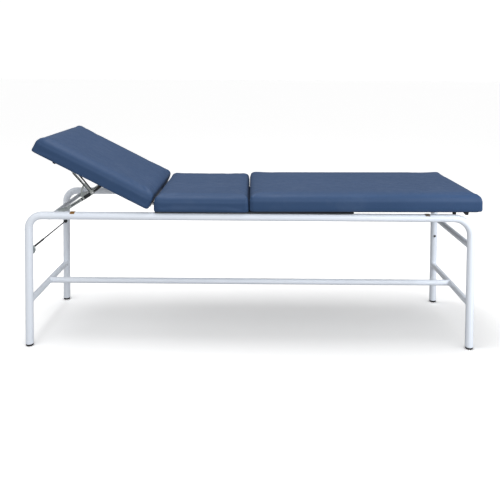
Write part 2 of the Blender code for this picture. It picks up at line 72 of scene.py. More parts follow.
# ---- sizes shared with the model, in metres ------------------------------
CLEARANCE = 0.0003         # between neighbouring parts
CENTRE_X = -0.0120
HEAD_TILT = math.radians(26.67)
LEG_RISE = math.radians(0.35)
HINGE = joint_at["head_tilt"]
FRAME_PIVOT = joint_at["lower_arm_swing"]
HEAD_PIVOT = joint_at["upper_arm_swing"]
BASE_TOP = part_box("base_board")[1].z
LEG_START = 0.0010
LEG_CORNER = Vector((CENTRE_X + LEG_START, 0.0, BASE_TOP + CLEARANCE))
ARM_LEN = 0.1426           # between the pivots of an arm
LEG_X = 0.972
SIDE_Y = 0.270
RAIL_Z = 0.580
TUBE_R = 0.0175
CROSS_R = 0.0140
HEAD_CROSS_R = 0.010
HEAD_CROSS = (CENTRE_X - 0.882, 0.572)
FOOT_CROSS_Z = 0.454
LOW_CROSS_Z = 0.1975
BOARD_INSET = 0.015
BOARD_HALF_Y = 0.285
BOARD_T = 0.012
SIDES = (("near", -1), ("far", 1))


def about(point, angle):
    """A turn about the Y axis through a point."""
    return (Matrix.Translation(point) @ Matrix.Rotation(angle, 4, "Y")
            @ Matrix.Translation(-Vector(point)))


HEAD_TURN = about(HINGE, HEAD_TILT)
LEG_TURN = about(LEG_CORNER, -LEG_RISE)


# ---- colours, linear, each from dark to light ----------------------------
COAT_TONES = ((0.785, 0.830, 0.910), (0.835, 0.875, 0.940))
COAT_WORN = (0.56, 0.57, 0.58)
VINYL_TONES = ((0.025, 0.060, 0.138), (0.030, 0.067, 0.152))
# painted shade for the valleys of the grain
VINYL_VALLEY_SHADE = (0.014, 0.034, 0.082)
VINYL_RUBBED = (0.30, 0.36, 0.46)
ZINC_TONES = ((0.30, 0.345, 0.335), (0.44, 0.475, 0.465), (0.56, 0.57, 0.53))
ZINC_SPANGLE = (0.62, 0.65, 0.66)
# near black for the lower arm's marks: a dark stretch, and painted shade for a slot
ZINC_DARK_AND_SLOT_SHADE = (0.012, 0.016, 0.018)
STEEL_TONES = ((0.53, 0.54, 0.55), (0.70, 0.71, 0.72))
DARK_STEEL_TONES = ((0.018, 0.019, 0.021), (0.042, 0.043, 0.046))
RUBBER_TONES = ((0.010, 0.010, 0.011), (0.034, 0.034, 0.035))
PLASTIC_TONES = ((0.013, 0.015, 0.017), (0.026, 0.029, 0.032))
AMBER_TONES = ((0.220, 0.100, 0.018), (0.330, 0.165, 0.030))
UMBER_TONES = ((0.120, 0.095, 0.075), (0.170, 0.135, 0.105))
BOARD_TONES = ((0.016, 0.019, 0.026), (0.034, 0.039, 0.050), (0.062, 0.066, 0.074))
COMMON_NOISE = (0.25, 0.75)  # where nearly all of a noise's values lie
ZINC_METALLIC = 0.75
MARK_LONG = (0.012, 0.062, 0.02)      # a dark stretch of the lower arm, and painted shade for a slot in it:
SLOT_SHADE_MARK = (0.072, 0.118, 0.0018)    # start, end and half width


# ---- materials -----------------------------------------------------------
class Paint:
    """A Principled material and short calls to wire its textures."""

    def __init__(self, name, roughness=0.5, metallic=0.0, specular=0.5):
        self.mat = bpy.data.materials.new(name)
        self.mat.use_nodes = True
        self.tree = self.mat.node_tree
        self.shader = self.tree.nodes["Principled BSDF"]
        self.shader.inputs["Roughness"].default_value = roughness
        self.shader.inputs["Metallic"].default_value = metallic
        self.shader.inputs["Specular IOR Level"].default_value = specular
        self.coords = self.tree.nodes.new("ShaderNodeTexCoord").outputs["Object"]

    def node(self, kind, **settings):
        made = self.tree.nodes.new(kind)
        for key, value in settings.items():
            setattr(made, key, value)
        return made

    def link(self, a, b):
        self.tree.links.new(a, b)

    def stretched(self, scale, turn=(0.0, 0.0, 0.0)):
        """Coordinates scaled by axis, so that a texture runs along one of them."""
        mapping = self.node("ShaderNodeMapping")
        mapping.inputs["Scale"].default_value = scale
        mapping.inputs["Rotation"].default_value = turn
        self.link(self.coords, mapping.inputs["Vector"])
        return mapping.outputs["Vector"]

    def noise(self, scale, detail=3.0, rough=0.55, vector=None, distortion=0.0):
        tex = self.node("ShaderNodeTexNoise")
        tex.inputs["Scale"].default_value = scale
        tex.inputs["Detail"].default_value = detail
        tex.inputs["Roughness"].default_value = rough
        tex.inputs["Distortion"].default_value = distortion
        self.link(vector or self.coords, tex.inputs["Vector"])
        return tex.outputs["Fac"]

    def cells(self, scale, feature="F1", vector=None):
        tex = self.node("ShaderNodeTexVoronoi", feature=feature)
        tex.inputs["Scale"].default_value = scale
        self.link(vector or self.coords, tex.inputs["Vector"])
        return tex.outputs["Distance"]

    def ramp(self, value, stops, interpolation="LINEAR"):
        """A colour ramp; each stop is a place and a grey or a colour."""
        made = self.node("ShaderNodeValToRGB")
        ramp = made.color_ramp
        ramp.interpolation = interpolation
        while len(ramp.elements) < len(stops):
            ramp.elements.new(0.5)
        for element, (place, colour) in zip(ramp.elements, stops):
            element.position = place
            if not hasattr(colour, "__len__"):
                colour = (colour, colour, colour)
            element.color = (*colour, 1.0)
        self.link(value, made.inputs["Fac"])
        return made.outputs["Color"]

    def spread(self, value, low, high, start, end):
        """Maps start..end of a value onto low..high."""
        made = self.node("ShaderNodeMapRange")
        made.inputs["From Min"].default_value = start
        made.inputs["From Max"].default_value = end
        made.inputs["To Min"].default_value = low
        made.inputs["To Max"].default_value = high
        self.link(value, made.inputs["Value"])
        return made.outputs["Result"]

    def maths(self, operation, a, b=None):
        made = self.node("ShaderNodeMath", operation=operation)
        for socket, value in zip(made.inputs, (a, b)):
            if value is None:
                continue
            if isinstance(value, (int, float)):
                socket.default_value = value
            else:
                self.link(value, socket)
        return made.outputs["Value"]

    def mixed(self, factor, a, b):
        made = self.node("ShaderNodeMix", data_type="RGBA")
        for socket, value in zip((made.inputs[0], made.inputs[6], made.inputs[7]),
                                 (factor, a, b)):
            if isinstance(value, (int, float)):
                socket.default_value = value
            elif isinstance(value, tuple):
                socket.default_value = (*value, 1.0)
            else:
                self.link(value, socket)
        return made.outputs[2]

    def colour(self, value):
        if isinstance(value, tuple):
            self.shader.inputs["Base Color"].default_value = (*value, 1.0)
        else:
            self.link(value, self.shader.inputs["Base Color"])

    def roughness(self, texture, low, high):
        """Roughness between two values, following a texture."""
        self.link(self.spread(texture, low, high, *COMMON_NOISE),
                  self.shader.inputs["Roughness"])

    def bump(self, height, strength, distance, previous=None):
        """Relief on the surface, on top of a previous relief if one is given."""
        made = self.node("ShaderNodeBump")
        made.inputs["Strength"].default_value = strength
        made.inputs["Distance"].default_value = distance
        self.link(height, made.inputs["Height"])
        if previous is not None:
            self.link(previous, made.inputs["Normal"])
        self.link(made.outputs["Normal"], self.shader.inputs["Normal"])
        return made.outputs["Normal"]


def powder_coat():
    p = Paint("white_powder_coat", specular=0.5)
    broad = p.noise(3.2, 3.0)
    tone = p.ramp(broad, [(0.30, COAT_TONES[0]), (0.70, COAT_TONES[1])])
    scuff = p.noise(46.0, 5.0, 0.7, p.stretched((1.0, 1.0, 0.35)))
    scuff = p.ramp(scuff, [(0.67, 0.0), (0.74, 1.0)])
    place = p.node("ShaderNodeSeparateXYZ")
    p.link(p.coords, place.inputs[0])
    near_floor = p.spread(place.outputs["Z"], 0.55, 0.08, 0.0, 0.30)
    worn = p.maths("MULTIPLY", scuff, near_floor)
    p.colour(p.mixed(worn, tone, COAT_WORN))
    p.roughness(p.noise(24.0, 4.0), 0.30, 0.44)
    peel = p.noise(520.0, 2.0, 0.5)
    waves = p.noise(90.0, 2.0, 0.5)
    first = p.bump(waves, 0.10, 0.0012)
    p.bump(peel, 0.16, 0.0004, first)
    p.shader.inputs["Coat Weight"].default_value = 0.20
    p.shader.inputs["Coat Roughness"].default_value = 0.16
    return p.mat


def vinyl():
    p = Paint("navy_vinyl", specular=0.25)
    warp = p.noise(2.1, 4.0, 0.55)
    tone = p.ramp(warp, [(0.30, VINYL_TONES[0]), (0.70, VINYL_TONES[1])])
    grain = p.cells(640.0, "DISTANCE_TO_EDGE",
                    p.stretched((1.0, 1.0, 1.0), (0.4, 0.7, 0.2)))
    # painted shade: the grain's valleys darkened
    valley_shade = p.ramp(grain, [(0.00, 1.0), (0.16, 0.0)])
    tone = p.mixed(p.maths("MULTIPLY", valley_shade, 0.30), tone, VINYL_VALLEY_SHADE)
    rub = p.noise(9.0, 6.0, 0.62)
    tone = p.mixed(p.spread(rub, 0.0, 0.045, 0.52, 0.78), tone, VINYL_RUBBED)
    p.colour(tone)
    p.roughness(p.noise(30.0, 5.0, 0.6), 0.43, 0.57)
    wrinkle = p.noise(16.0, 3.0, 0.5, p.stretched((1.0, 0.45, 1.0)), 0.6)
    first = p.bump(wrinkle, 0.05, 0.004)
    pores = p.noise(1500.0, 2.0, 0.5)
    cells = p.ramp(grain, [(0.0, 0.0), (0.20, 1.0)], "EASE")
    second = p.bump(cells, 0.22, 0.00022, first)
    p.bump(pores, 0.10, 0.00012, second)
    p.shader.inputs["Sheen Weight"].default_value = 0.03
    p.shader.inputs["Sheen Roughness"].default_value = 0.45
    return p.mat


def zinc(name="zinc_steel", arm=None, marks=()):
    """Zinc plate, greenish grey.

    arm is a start and a direction. Each mark, as its start and end along the
    arm and its half width, is painted near black; on the lower arm the long mark
    is a dark stretch and the thin one painted shade where a slot would be.
    """
    p = Paint(name, metallic=ZINC_METALLIC, specular=0.5)
    cloud = p.noise(60.0, 4.0, 0.6, distortion=0.8)
    tone = p.ramp(cloud, list(zip((0.25, 0.50, 0.75), ZINC_TONES)))
    spangle = p.cells(210.0)
    tone = p.mixed(p.spread(spangle, 0.0, 0.22, 0.1, 0.8), tone, ZINC_SPANGLE)
    brushed = p.noise(420.0, 3.0, 0.6, p.stretched((0.08, 1.0, 0.6)))
    if marks:
        start, along = arm
        across = (-along[2], 0.0, along[0])
        spot = p.node("ShaderNodeVectorMath", operation="SUBTRACT")
        p.link(p.coords, spot.inputs[0])
        spot.inputs[1].default_value = start
        reach, aside = (p.node("ShaderNodeVectorMath", operation="DOT_PRODUCT")
                        for _ in range(2))
        for product, direction in ((reach, along), (aside, across)):
            p.link(spot.outputs["Vector"], product.inputs[0])
            product.inputs[1].default_value = direction
        clean = 1.0
        for low, high, half in marks:
            after = p.maths("GREATER_THAN", reach.outputs["Value"], low)
            before = p.maths("LESS_THAN", reach.outputs["Value"], high)
            narrow = p.maths("LESS_THAN", p.maths("ABSOLUTE", aside.outputs["Value"]), half)
            inside = p.maths("MULTIPLY", p.maths("MULTIPLY", after, before), narrow)
            clean = p.maths("MULTIPLY", clean, p.maths("SUBTRACT", 1.0, inside))
        # the marks painted near black; the thin one is painted shade for a slot
        tone = p.mixed(clean, ZINC_DARK_AND_SLOT_SHADE, tone)
        p.link(p.maths("MULTIPLY", clean, ZINC_METALLIC), p.shader.inputs["Metallic"])
    p.colour(tone)
    p.roughness(p.noise(130.0, 4.0), 0.26, 0.46)
    p.bump(brushed, 0.08, 0.0003)
    return p.mat


def bright_steel():
    p = Paint("bright_steel", metallic=1.0)
    p.colour(p.ramp(p.noise(85.0, 4.0), [(0.3, STEEL_TONES[0]), (0.7, STEEL_TONES[1])]))
    p.roughness(p.noise(260.0, 4.0), 0.18, 0.36)
    p.bump(p.noise(700.0, 3.0, 0.6, p.stretched((1.0, 0.1, 1.0))), 0.06, 0.0002)
    return p.mat


def dark_steel():
    p = Paint("dark_steel", metallic=0.35)
    p.colour(p.ramp(p.noise(50.0, 4.0), [(0.3, DARK_STEEL_TONES[0]),
                                         (0.75, DARK_STEEL_TONES[1])]))
    p.roughness(p.noise(200.0, 4.0), 0.32, 0.52)
    p.bump(p.noise(620.0, 2.0), 0.08, 0.0003)
    return p.mat


def rubber():
    p = Paint("black_rubber", specular=0.32)
    p.colour(p.ramp(p.noise(110.0, 5.0, 0.65), [(0.3, RUBBER_TONES[0]),
                                                (0.78, RUBBER_TONES[1])]))
    p.roughness(p.noise(160.0, 4.0), 0.62, 0.84)
    p.bump(p.noise(900.0, 2.0), 0.20, 0.0003)
    return p.mat


def plastic():
    p = Paint("black_plastic", specular=0.42)
    p.colour(p.ramp(p.noise(70.0, 3.0), [(0.3, PLASTIC_TONES[0]),
                                         (0.7, PLASTIC_TONES[1])]))
    p.roughness(p.noise(300.0, 3.0), 0.36, 0.54)
    p.bump(p.cells(1300.0), 0.14, 0.0002)
    return p.mat


def amber(name, tones):
    p = Paint(name, specular=0.5)
    p.colour(p.ramp(p.noise(120.0, 4.0), [(0.3, tones[0]), (0.7, tones[1])]))
    p.roughness(p.noise(240.0, 3.0), 0.30, 0.46)
    p.bump(p.noise(480.0, 2.0), 0.10, 0.0003)
    p.shader.inputs["Coat Weight"].default_value = 0.15
    return p.mat


def ply():
    """Dark lacquered board with a faint long grain."""
    p = Paint("dark_board", specular=0.35)
    fibres = p.noise(38.0, 6.0, 0.62, p.stretched((0.16, 3.0, 3.0)), 0.5)
    p.colour(p.ramp(fibres, list(zip((0.28, 0.55, 0.80), BOARD_TONES))))
    p.roughness(fibres, 0.50, 0.74)
    p.bump(fibres, 0.12, 0.0006)
    return p.mat


WHITE = powder_coat()
VINYL = vinyl()
ZINC = zinc()
STEEL = bright_steel()
DARK_STEEL = dark_steel()
RUBBER = rubber()
PLASTIC = plastic()
PLY = ply()
AMBER = amber("amber_plastic", AMBER_TONES)
UMBER = amber("umber_plastic", UMBER_TONES)


def knee_point():
    """Where the two arms of a pair meet, from their two pivots."""
    middle = (FRAME_PIVOT + HEAD_PIVOT) / 2
    half = (HEAD_PIVOT - FRAME_PIVOT).length / 2
    towards = (HINGE - middle).normalized()
    return middle + towards * math.sqrt(ARM_LEN ** 2 - half ** 2)


KNEE = knee_point()
DOWN_ARM = (FRAME_PIVOT - KNEE).normalized()
# the lower arms' zinc, with a dark stretch and painted shade for a slot
ARM_ZINC = zinc("zinc_steel_arm", (tuple(KNEE), tuple(DOWN_ARM)), (MARK_LONG, SLOT_SHADE_MARK))

slot_paint = {
    "white_powder_coat": WHITE, "navy_vinyl": VINYL, "black_rubber": RUBBER,
    "black_plastic": PLASTIC, "zinc_steel": ZINC, "bright_steel": STEEL,
    "dark_steel": DARK_STEEL, "amber_plastic": AMBER, "dark_board": PLY,
}
for part in frame["record"]["subparts"]:
    mesh = nodes[part["node"]].data
    if not mesh.materials:
        mesh.materials.append(None)
    for index in range(len(mesh.materials)):
        mesh.materials[index] = slot_paint[part["material_slot"]]
nodes["saddle_foot"].data.materials[0] = UMBER
for side_name, _ in SIDES:
    nodes["lower_arm_" + side_name].data.materials[0] = ARM_ZINC


# ---- building helpers ----------------------------------------------------
SHARP_EDGE = math.radians(38.0)
ON_AXIS = 1e-6


def make(name, bm, mat, body, smooth=True):
    """An object from a bmesh, riding on a body."""
    bmesh.ops.recalc_face_normals(bm, faces=bm.faces)
    mesh = bpy.data.meshes.new(name)
    bm.to_mesh(mesh)
    bm.free()
    mesh.materials.append(mat)
    if smooth:
        mesh.shade_smooth()
        mesh.set_sharp_from_angle(angle=SHARP_EDGE)
    obj = bpy.data.objects.new(name, mesh)
    scene.collection.objects.link(obj)
    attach(obj, body)
    return obj


def add_tube(bm, points, radius, sides, closed=False):
    """A round bar along points; radius is a number or one per point."""
    count = len(points)
    rings = []
    normal = None
    for i, point in enumerate(points):
        if closed:
            ahead = points[(i + 1) % count] - points[i - 1]
        else:
            ahead = points[min(i + 1, count - 1)] - points[max(i - 1, 0)]
        ahead = ahead.normalized()
        if normal is None:
            normal = ahead.orthogonal().normalized()
        normal = (normal - ahead * normal.dot(ahead)).normalized()
        across = ahead.cross(normal)
        r = radius[i] if hasattr(radius, "__len__") else radius
        ring = []
        for k in range(sides):
            angle = 2 * math.pi * k / sides
            ring.append(bm.verts.new(point + normal * (r * math.cos(angle))
                                     + across * (r * math.sin(angle))))
        rings.append(ring)
    for a, b in zip(rings, rings[1:]):
        for k in range(sides):
            m = (k + 1) % sides
            bm.faces.new((a[k], a[m], b[m], b[k]))
    if closed:
        a, b = rings[-1], rings[0]
        start = min(range(sides), key=lambda s: (b[s].co - a[0].co).length)
        for k in range(sides):
            m = (k + 1) % sides
            bm.faces.new((a[k], a[m], b[(m + start) % sides], b[(k + start) % sides]))
    else:
        bm.faces.new(list(reversed(rings[0])))
        bm.faces.new(rings[-1])


def add_turned(bm, profile, origin, axis, steps):
    """A closed turned form from (radius, height) points, first and last on the axis."""
    turn = Vector(axis).to_track_quat("Z", "Y").to_matrix()
    rings = []
    for radius, height in profile:
        if radius < ON_AXIS:
            rings.append([bm.verts.new(Vector(origin) + turn @ Vector((0, 0, height)))])
            continue
        ring = []
        for k in range(steps):
            angle = 2 * math.pi * k / steps
            spot = Vector((radius * math.cos(angle), radius * math.sin(angle), height))
            ring.append(bm.verts.new(Vector(origin) + turn @ spot))
        rings.append(ring)
    for a, b in zip(rings, rings[1:]):
        for k in range(steps):
            m = (k + 1) % steps
            corners = [a[k % len(a)], a[m % len(a)], b[m % len(b)], b[k % len(b)]]
            loop = list(dict.fromkeys(corners))
            if len(loop) >= 3:
                bm.faces.new(loop)


# ---- cushions ------------------------------------------------------------
def flat_box(node, turn):
    """A node's box after undoing its turn."""
    undo = turn.inverted()
    points = np.array([undo @ v.co for v in nodes[node].data.vertices])
    return Vector(points.min(0)), Vector(points.max(0))


START_INSET = 0.0020       # of the form before it swells
START_DROP = 0.0030
CORNER_R = 0.016           # rounding of the upright corners,
TOP_R = 0.024              # of the top edge
HEM_R = 0.009              # and of the bottom edge
SAME_LEVEL = 1e-5
TOP_BAND = 0.020           # this near the top, a point counts as the crown
CROWN = 0.0060             # most that the crown may swell,
SIDE_SWELL = 0.0034        # and the sides
NO_MOVE = 1e-9
PRESSURE = 4.0
CLOTH_STEPS = 20
HELD_BAND = 0.004
PUSH_REACH = 0.045
FOLD_DEPTH = 0.0022
FOLD_ASIDE = 0.005
FOLD_WIDTH = 0.0032
FOLD_REACH = 0.030
FOLD_TOP = 0.80
RIM_BAND = 0.0030
BOARD_ROOM = 0.0008
SNAP = 0.6                 # of a voxel


def rounded_form(low, high):
    """A block with rounded corners, top edge and hem."""
    bm = bmesh.new()
    bmesh.ops.create_cube(
        bm, size=1.0, matrix=Matrix.Translation((low + high) / 2)
        @ Matrix.Diagonal((*(high - low), 1.0)))

    def bevel(edges, radius, segments):
        bmesh.ops.bevel(bm, geom=edges, offset=radius, segments=segments, profile=0.5,
                        affect="EDGES")

    bevel([e for e in bm.edges if abs(e.verts[0].co.z - e.verts[1].co.z) > 0.01],
          CORNER_R, 4)
    bevel([e for e in bm.edges if all(v.co.z > high.z - SAME_LEVEL for v in e.verts)],
          TOP_R, 6)
    bevel([e for e in bm.edges
           if all(abs(v.co.z - low.z) < SAME_LEVEL for v in e.verts)], HEM_R, 3)
    return bm


def cushion(name, node, turn, body, voxel, grow_low, grow_high, pushes):
    """A swollen cushion in place of a pad.

    grow_low and grow_high are how far it passes the pad's box on each axis,
    and pushes how much the top edge of its two ends is filled out.
    """
    low, high = flat_box(node, turn)
    start_low = low + Vector((START_INSET, START_INSET, 0.0))
    start_high = high - Vector((START_INSET, START_INSET, START_DROP))
    bm = rounded_form(start_low, start_high)
    mesh = bpy.data.meshes.new(name)
    bm.to_mesh(mesh)
    bm.free()
    obj = bpy.data.objects.new(name, mesh)
    scene.collection.objects.link(obj)

    remesh = obj.modifiers.new("remesh", "REMESH")
    remesh.mode = "VOXEL"
    remesh.voxel_size = voxel
    apply_modifiers(obj)

    rest = read(obj)
    inflate(obj, start_low.z)
    on_top = rest[:, 2] > start_high.z - TOP_BAND
    points = rest + capped(read(obj) - rest, np.where(on_top, CROWN, SIDE_SWELL))
    points = fitted(points, low - Vector(grow_low), high + Vector(grow_high))
    points = squared(points, low, high, pushes)
    points = tucked(points, low, high)
    points = recessed(points, low, high, voxel)
    write(obj, points)
    smooth = obj.modifiers.new("smooth", "SUBSURF")
    smooth.levels = 1
    smooth.render_levels = 1
    apply_modifiers(obj)
    obj.data.transform(turn)
    obj.data.materials.clear()
    obj.data.materials.append(VINYL)
    obj.data.shade_smooth()
    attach(obj, body)
    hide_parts(node)


def read(obj):
    count = len(obj.data.vertices)
    co = np.empty(count * 3)
    obj.data.vertices.foreach_get("co", co)
    return co.reshape(-1, 3)


def write(obj, points):
    obj.data.vertices.foreach_set("co", points.ravel())
    obj.data.update()


def apply_modifiers(obj):
    bpy.context.view_layer.update()
    graph = bpy.context.evaluated_depsgraph_get()
    fresh = bpy.data.meshes.new_from_object(obj.evaluated_get(graph))
    obj.modifiers.clear()
    old = obj.data
    obj.data = fresh
    bpy.data.meshes.remove(old)


def capped(moved, limit):
    """Movements eased off so that none is longer than its limit."""
    length = np.linalg.norm(moved, axis=1)
    eased = limit * np.tanh(length / limit) / np.maximum(length, NO_MOVE)
    return moved * np.where(length > NO_MOVE, eased, 0)[:, None]


def inflate(obj, floor_z):
    """Cloth under pressure, held along the underside, its result applied."""
    pinned = obj.vertex_groups.new(name="held")
    held = [v.index for v in obj.data.vertices if v.co.z < floor_z + HELD_BAND]
    pinned.add(held, 1.0, "REPLACE")
    mod = obj.modifiers.new("cloth", "CLOTH")
    cloth = mod.settings
    cloth.quality = 4
    cloth.use_pressure = True
    cloth.uniform_pressure_force = PRESSURE
    cloth.effector_weights.gravity = 0.0
    cloth.vertex_group_mass = "held"
    cloth.tension_stiffness = 18.0
    cloth.compression_stiffness = 18.0
    cloth.shear_stiffness = 8.0
    cloth.bending_stiffness = 1.2
    mod.collision_settings.use_collision = False
    mod.point_cache.frame_start = 1
    mod.point_cache.frame_end = CLOTH_STEPS
    for step in range(1, CLOTH_STEPS + 1):
        scene.frame_set(step)
    apply_modifiers(obj)
    obj.vertex_groups.clear()
    scene.frame_set(1)


def fitted(points, low, high):
    """Scales the swollen form so that it fills a box."""
    out = points.copy()
    for axis in range(3):
        least, most = out[:, axis].min(), out[:, axis].max()
        span = (high[axis] - low[axis]) / (most - least)
        out[:, axis] = low[axis] + (out[:, axis] - least) * span
    return out


def squared(points, low, high, pushes):
    """Fills out the upper edge of an end that faces the next cushion."""
    out = points.copy()
    rise = np.clip((points[:, 2] - (high.z - TOP_R)) / TOP_R, 0, 1)
    for sign, edge, push in ((-1, low.x, pushes[0]), (1, high.x, pushes[1])):
        near = np.clip(1 - sign * (edge - points[:, 0]) / PUSH_REACH, 0, 1)
        out[:, 0] += sign * push * near * rise ** 2
    return out


def tucked(points, low, high):
    """Pulls a soft fold into each upright corner, deepest at the hem."""
    out = points.copy()
    for sx in (-1, 1):
        for sy in (-1, 1):
            corner = np.array([high.x if sx > 0 else low.x, high.y if sy > 0 else low.y])
            reach = points[:, :2] - corner
            inward = np.array([-sx, -sy]) / math.sqrt(2)
            across = reach @ np.array([-sy, sx]) / math.sqrt(2)
            depth = reach @ inward
            height = np.clip((points[:, 2] - low.z) / (high.z - low.z), 0, 1)
            near = np.exp(-(across - FOLD_ASIDE) ** 2 / (2 * FOLD_WIDTH ** 2))
            near = near * (depth < FOLD_REACH)
            fold = FOLD_DEPTH * near * (1 - height) ** 0.7 * (height < FOLD_TOP)
            out[:, :2] += fold[:, None] * inward
    return out


def recessed(points, low, high, voxel):
    """Sets the underside up round the board it is stapled to."""
    out = points.copy()
    edge_x = (low.x + BOARD_INSET - CLEARANCE, high.x - BOARD_INSET + CLEARANCE)
    edge_y = BOARD_HALF_Y + CLEARANCE
    under = points[:, 2] < low.z + RIM_BAND
    inside = ((points[:, 0] > edge_x[0]) & (points[:, 0] < edge_x[1])
              & (np.abs(points[:, 1]) < edge_y))
    lift = under & inside
    out[lift, 2] = low.z + BOARD_T + BOARD_ROOM
    rim = under & ~inside
    for axis, edges in ((0, edge_x), (1, (-edge_y, edge_y))):
        for line in edges:
            near = rim & (np.abs(points[:, axis] - line) < voxel * SNAP)
            out[near, axis] = line
    out[rim, 2] = np.minimum(out[rim, 2], low.z + RIM_BAND)
    return out


cushion("leg_cushion", "leg_pad", LEG_TURN, "frame", 0.0070,
        (0.0030, 0.0035, 0.0), (0.0, 0.0035, 0.0050), (0.006, 0.0))
cushion("seat_cushion", "seat_pad", Matrix.Identity(4), "frame", 0.0060,
        (0.0030, 0.0035, 0.0), (0.0030, 0.0035, 0.0065), (0.002, 0.008))
cushion("head_cushion", "head_pad", HEAD_TURN, "head_section", 0.0060,
        (0.0030, 0.0035, 0.0020), (0.0025, 0.0035, 0.0075), (0.0, 0.006))


# ---- welds ---------------------------------------------------------------
WELD_SIZE = 0.0022
THIN_WELD_SIZE = 0.0018
STRETCHER_WELD_SIZE = 0.0020
WELD_SUNK = 0.0006
WELD_STEPS = 64
STRETCHER_WELD_STEPS = 56
STRETCHER_WELD_SUNK = 0.985


def bead(bm, points, size):
    """A laid weld: a closed ripple of overlapping drops along the points."""
    radii = []
    for i in range(len(points)):
        ripple = abs(math.sin(math.pi * i * 0.25))
        radii.append(size * (0.80 + 0.22 * ripple) * random.uniform(0.95, 1.05))
    add_tube(bm, points, radii, 7, closed=True)


def tube_end(x, z, radius, upright, side):
    """Where a cross tube's skin meets a side frame's leg or rail."""
    loop = []
    for i in range(WELD_STEPS):
        angle = 2 * math.pi * i / WELD_STEPS
        dx = radius * math.cos(angle)
        dz = radius * math.sin(angle)
        offset = dx if upright else z + dz - RAIL_Z
        y = SIDE_Y - math.sqrt(max(TUBE_R ** 2 - offset ** 2, 0.0))
        loop.append(Vector((x + dx, side * (y - WELD_SUNK), z + dz)))
    return loop


head_x = CENTRE_X - LEG_X
foot_x = CENTRE_X + LEG_X
welded_ends = (
    (head_x, LOW_CROSS_Z, CROSS_R, True, WELD_SIZE),
    (foot_x, LOW_CROSS_Z, CROSS_R, True, WELD_SIZE),
    (foot_x, FOOT_CROSS_Z, CROSS_R, True, WELD_SIZE),
    (HEAD_CROSS[0], HEAD_CROSS[1], HEAD_CROSS_R, False, THIN_WELD_SIZE),
)
for side_name, side in SIDES:
    bm = bmesh.new()
    for x, z, radius, upright, size in welded_ends:
        bead(bm, tube_end(x, z, radius, upright, side), size)
    make("weld_beads_" + side_name, bm, WHITE, "frame")

bm = bmesh.new()
for end, x in ((-1, head_x), (1, foot_x)):
    loop = []
    for i in range(STRETCHER_WELD_STEPS):
        angle = 2 * math.pi * i / STRETCHER_WELD_STEPS
        dy = CROSS_R * math.cos(angle)
        dz = CROSS_R * math.sin(angle)
        dx = math.sqrt(max(CROSS_R ** 2 - dz ** 2, 0.0)) * STRETCHER_WELD_SUNK
        loop.append(Vector((x - end * dx, dy, LOW_CROSS_Z + dz)))
    bead(bm, loop, STRETCHER_WELD_SIZE)
make("weld_beads_stretcher", bm, WHITE, "frame")


# ---- screws and staples --------------------------------------------------
DOWN = Vector((0, 0, -1))
LEAF_SCREW_R = 0.0036
EAR_SCREW_R = 0.0030
LEAF_SCREW_X = (0.010, 0.032)
LEAF_SCREW_Y = (-0.020, 0.020)
EAR_SCREW_X = (-0.012, 0.012)
EAR_SCREW_Y = 0.2010
EAR_PLATE_T = 0.0025


def add_screw(bm, place, radius):
    """A domed screw head with a sunk middle, seen from below."""
    profile = [(0.0, 0.0), (radius, 0.0), (radius, 0.0004), (radius * 0.86, 0.0012),
               (radius * 0.55, 0.0019), (radius * 0.30, 0.0020), (radius * 0.24, 0.0010),
               (0.0, 0.0009)]
    add_turned(bm, profile, place, DOWN, 14)


for side_name, side in SIDES:
    bm = bmesh.new()
    low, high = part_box("hinge_leaf_seat_" + side_name)
    middle = (low.y + high.y) / 2
    for back in LEAF_SCREW_X:
        for dy in LEAF_SCREW_Y:
            add_screw(bm, (high.x - back, middle + dy, low.z), LEAF_SCREW_R)
    make("hinge_screws_seat_" + side_name, bm, STEEL, "frame")

    bm = bmesh.new()
    low, high = flat_box("hinge_leaf_head_" + side_name, HEAD_TURN)
    for along in LEAF_SCREW_X:
        for dy in LEAF_SCREW_Y:
            add_screw(bm, (low.x + along, middle + dy, low.z), LEAF_SCREW_R)
    low, high = flat_box("head_ear_" + side_name, HEAD_TURN)
    for dx in EAR_SCREW_X:
        add_screw(bm, ((low.x + high.x) / 2 + dx, side * EAR_SCREW_Y, high.z - EAR_PLATE_T),
                  EAR_SCREW_R)
    bm.transform(HEAD_TURN)
    make("head_screws_" + side_name, bm, STEEL, "head_section")


STAPLE_PITCH = 0.030
STAPLE_HALF = 0.0050
STAPLE_R = 0.0006
STAPLE_SLANT = 0.0012
STAPLE_INSET = 0.0135
STAPLE_MARGIN = 0.03


def staples(name, node, turn, body, ends, start, drop):
    """Staples along the hem on the underside of a cushion.

    The long rows begin at start. ends picks the head end's row, the foot
    end's or both, and drop is how far below the pad the staples lie.
    """
    low, high = flat_box(node, turn)
    z = low.z - drop
    bm = bmesh.new()
    count = int((high.x - start - STAPLE_MARGIN) / STAPLE_PITCH)
    for i in range(count + 1):
        x = start + (high.x - start - STAPLE_MARGIN) * i / count
        for side in (-1, 1):
            y = side * (high.y - STAPLE_INSET)
            slant = random.uniform(-STAPLE_SLANT, STAPLE_SLANT)
            add_tube(bm, [Vector((x - STAPLE_HALF, y - slant, z)),
                          Vector((x + STAPLE_HALF, y + slant, z))], STAPLE_R, 5)
    count = int((high.y - low.y - 2 * STAPLE_MARGIN) / STAPLE_PITCH)
    for x in (low.x + STAPLE_INSET, high.x - STAPLE_INSET)[ends[0]:ends[1]]:
        for i in range(count + 1):
            y = low.y + STAPLE_MARGIN + (high.y - low.y - 2 * STAPLE_MARGIN) * i / count
            slant = random.uniform(-STAPLE_SLANT, STAPLE_SLANT)
            add_tube(bm, [Vector((x - slant, y - STAPLE_HALF, z)),
                          Vector((x + slant, y + STAPLE_HALF, z))], STAPLE_R, 5)
    bm.transform(turn)
    make(name, bm, STEEL, body)


staples("staples_leg", "leg_pad", LEG_TURN, "frame", (1, 2), 0.480, 0.0002)
staples("staples_head", "head_pad", HEAD_TURN, "head_section", (0, 2), -0.980, 0.0018)


